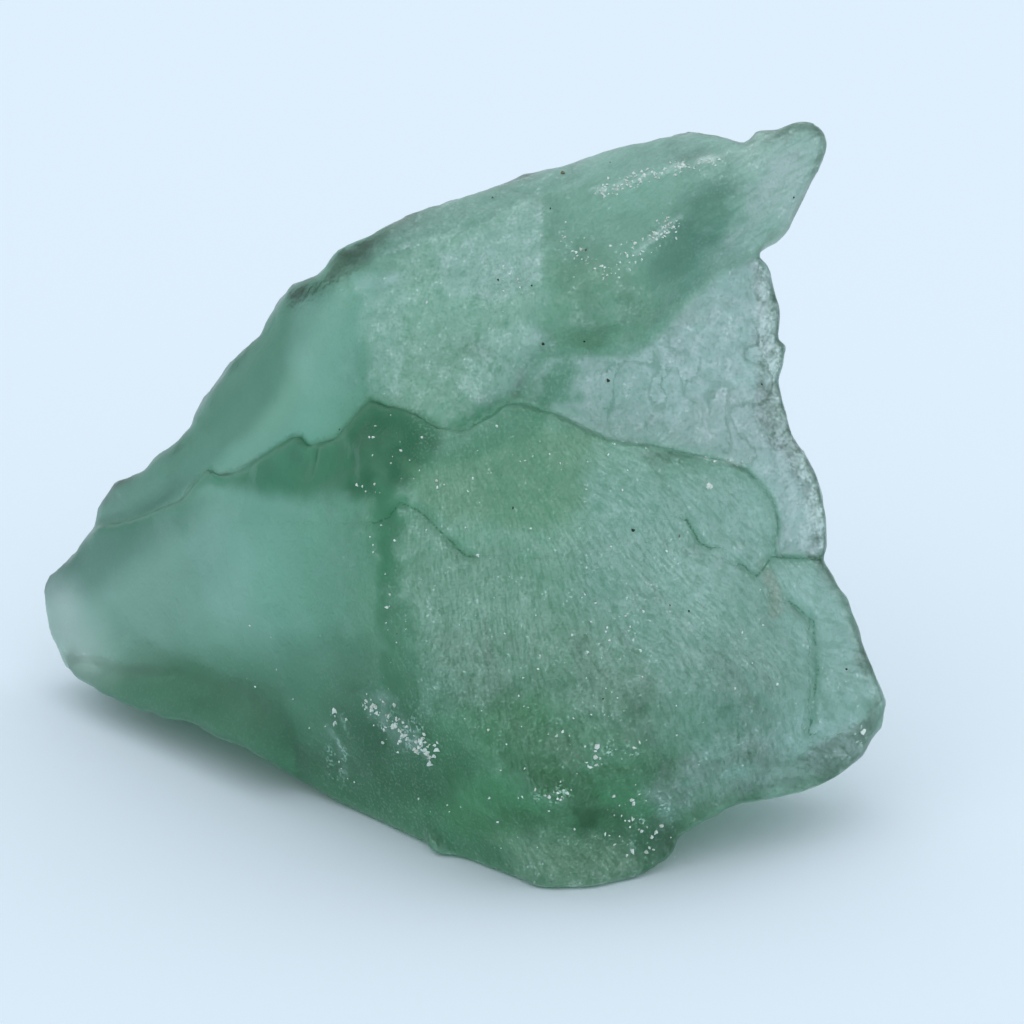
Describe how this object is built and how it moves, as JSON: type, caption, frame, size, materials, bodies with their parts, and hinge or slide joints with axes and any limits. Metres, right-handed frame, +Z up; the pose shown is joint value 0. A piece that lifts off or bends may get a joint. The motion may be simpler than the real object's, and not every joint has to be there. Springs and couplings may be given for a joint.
{
  "type": "rough fluorite",
  "caption": "Rough chunk of translucent green fluorite with a jagged ledge, a raised crest ending in a horn, and a flat foot to rest on.",
  "frame": {"origin": "middle of the stone's box, on the ground under its foot", "axes": "+Z up with the stone at rest on its foot, -Y towards the broad broken face, +X to the right of that face"},
  "size_m": [0.0468, 0.028, 0.0341],
  "materials": {
    "fluorite": "translucent blue-green fluorite, frosted on the broken faces and waxy smooth on the left one"
  },
  "bodies": {
    "root": {"fluorite": "fluorite"}
  },
  "joints": []
}
